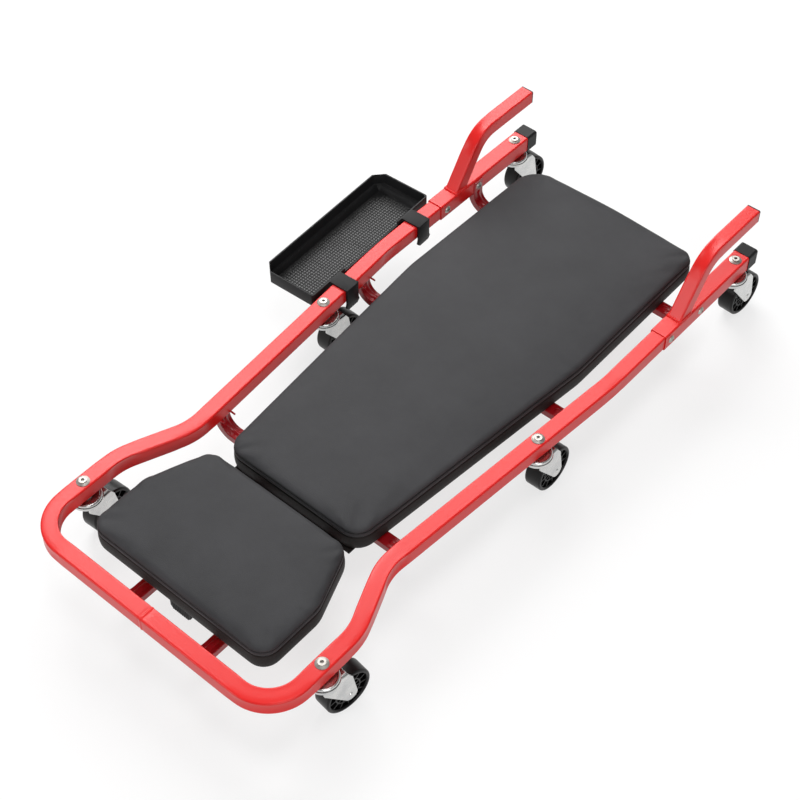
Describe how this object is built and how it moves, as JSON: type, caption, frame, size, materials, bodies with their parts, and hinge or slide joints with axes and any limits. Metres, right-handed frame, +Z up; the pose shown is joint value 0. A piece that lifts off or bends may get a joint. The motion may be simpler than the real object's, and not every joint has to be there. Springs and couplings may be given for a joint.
{
  "type": "mechanic creeper",
  "caption": "Low rolling creeper: bent square-tube frame, padded backrest and tilting headrest, lift-off tool tray and foot-end handles on swivel casters.",
  "frame": {"origin": "on the floor, under the middle of the bounding box", "axes": "+Z up, +Y from the headrest toward the foot end, +X the right of a user who lies on the back"},
  "size_m": [0.5906, 1.1368, 0.2192],
  "materials": {
    "red_tube": "gloss red powder coat",
    "dark_red_steel": "satin dark red powder coat",
    "black_vinyl": "grained black vinyl over foam",
    "plywood": "bare plywood",
    "black_plastic": "moulded satin",
    "zinc": "bright zinc plate"
  },
  "bodies": {
    "frame": {"head_loop": "red_tube", "foot_tube_left": "red_tube", "foot_tube_right": "red_tube", "handle_left": "red_tube", "handle_right": "red_tube", "handle_plug_left": "black_plastic", "handle_plug_right": "black_plastic", "foot_cap_left": "black_plastic", "foot_cap_right": "black_plastic", "neck_cross_member": "dark_red_steel", "mid_cross_member": "dark_red_steel", "foot_cross_member": "dark_red_steel", "headrest_channel_left": "dark_red_steel", "headrest_channel_right": "dark_red_steel", "side_bolts": "zinc", "side_nuts": "zinc", "caster_bolts": "zinc", "caster_nuts": "zinc", "caster_races": "zinc", "caster_balls": "zinc", "backrest_board": "plywood", "backrest_pad": "black_vinyl", "backrest_screws": "zinc", "hinge_bracket_left": "dark_red_steel", "hinge_bracket_right": "dark_red_steel", "hinge_pins": "zinc"},
    "headrest": {"hinge_arm_left": "dark_red_steel", "hinge_arm_right": "dark_red_steel", "headrest_board": "plywood", "headrest_pad": "black_vinyl", "headrest_grip": "black_plastic", "headrest_screws": "zinc"},
    "tray": {"tool_tray": "black_plastic"},
    "swivel_head_left": {"fork_head_left": "zinc", "axle_head_left": "zinc"},
    "roller_head_left": {"wheel_head_left": "black_plastic"},
    "swivel_head_right": {"fork_head_right": "zinc", "axle_head_right": "zinc"},
    "roller_head_right": {"wheel_head_right": "black_plastic"},
    "swivel_mid_left": {"fork_mid_left": "zinc", "axle_mid_left": "zinc"},
    "roller_mid_left": {"wheel_mid_left": "black_plastic"},
    "swivel_mid_right": {"fork_mid_right": "zinc", "axle_mid_right": "zinc"},
    "roller_mid_right": {"wheel_mid_right": "black_plastic"},
    "swivel_foot_left": {"fork_foot_left": "zinc", "axle_foot_left": "zinc"},
    "roller_foot_left": {"wheel_foot_left": "black_plastic"},
    "swivel_foot_right": {"fork_foot_right": "zinc", "axle_foot_right": "zinc"},
    "roller_foot_right": {"wheel_foot_right": "black_plastic"}
  },
  "joints": [
    {"name": "headrest_tilt", "type": "hinge", "parent": "frame", "child": "headrest", "pos_m": [0.04581, -0.3074, 0.0755], "axis": [-1, 0, 0], "range_deg": [0, 20]},
    {"name": "tray_lift", "type": "slide", "parent": "frame", "child": "tray", "axis": [0, 0, 1], "range_m": [0, 0.06]},
    {"name": "swivel_head_left", "type": "hinge", "parent": "frame", "child": "swivel_head_left", "pos_m": [-0.17969, -0.4618, 0.091], "axis": [0, 0, 1], "continuous": true},
    {"name": "roll_head_left", "type": "hinge", "parent": "swivel_head_left", "child": "roller_head_left", "pos_m": [-0.18134, -0.43034, 0.0375], "axis": [0.9986, 0.0523, 0], "continuous": true},
    {"name": "swivel_head_right", "type": "hinge", "parent": "frame", "child": "swivel_head_right", "pos_m": [0.27131, -0.4618, 0.091], "axis": [0, 0, 1], "continuous": true},
    {"name": "roll_head_right", "type": "hinge", "parent": "swivel_head_right", "child": "roller_head_right", "pos_m": [0.27515, -0.43053, 0.0375], "axis": [0.9925, -0.1219, 0], "continuous": true},
    {"name": "swivel_mid_left", "type": "hinge", "parent": "frame", "child": "swivel_mid_left", "pos_m": [-0.16108, 0.0123, 0.091], "axis": [0, 0, 1], "continuous": true},
    {"name": "roll_mid_left", "type": "hinge", "parent": "swivel_mid_left", "child": "roller_mid_left", "pos_m": [-0.15999, 0.04378, 0.0375], "axis": [0.9994, -0.0349, 0], "continuous": true},
    {"name": "swivel_mid_right", "type": "hinge", "parent": "frame", "child": "swivel_mid_right", "pos_m": [0.2527, 0.0123, 0.091], "axis": [0, 0, 1], "continuous": true},
    {"name": "roll_mid_right", "type": "hinge", "parent": "swivel_mid_right", "child": "roller_mid_right", "pos_m": [0.25215, 0.0438, 0.0375], "axis": [0.9998, 0.0175, 0], "continuous": true},
    {"name": "swivel_foot_left", "type": "hinge", "parent": "frame", "child": "swivel_foot_left", "pos_m": [-0.17339, 0.4991, 0.091], "axis": [0, 0, 1], "continuous": true},
    {"name": "roll_foot_left", "type": "hinge", "parent": "swivel_foot_left", "child": "roller_foot_left", "pos_m": [-0.17108, 0.53052, 0.0375], "axis": [0.9973, -0.0732, 0], "continuous": true},
    {"name": "swivel_foot_right", "type": "hinge", "parent": "frame", "child": "swivel_foot_right", "pos_m": [0.26501, 0.4991, 0.091], "axis": [0, 0, 1], "continuous": true},
    {"name": "roll_foot_right", "type": "hinge", "parent": "swivel_foot_right", "child": "roller_foot_right", "pos_m": [0.26633, 0.53057, 0.0375], "axis": [0.9991, -0.0419, 0], "continuous": true}
  ]
}
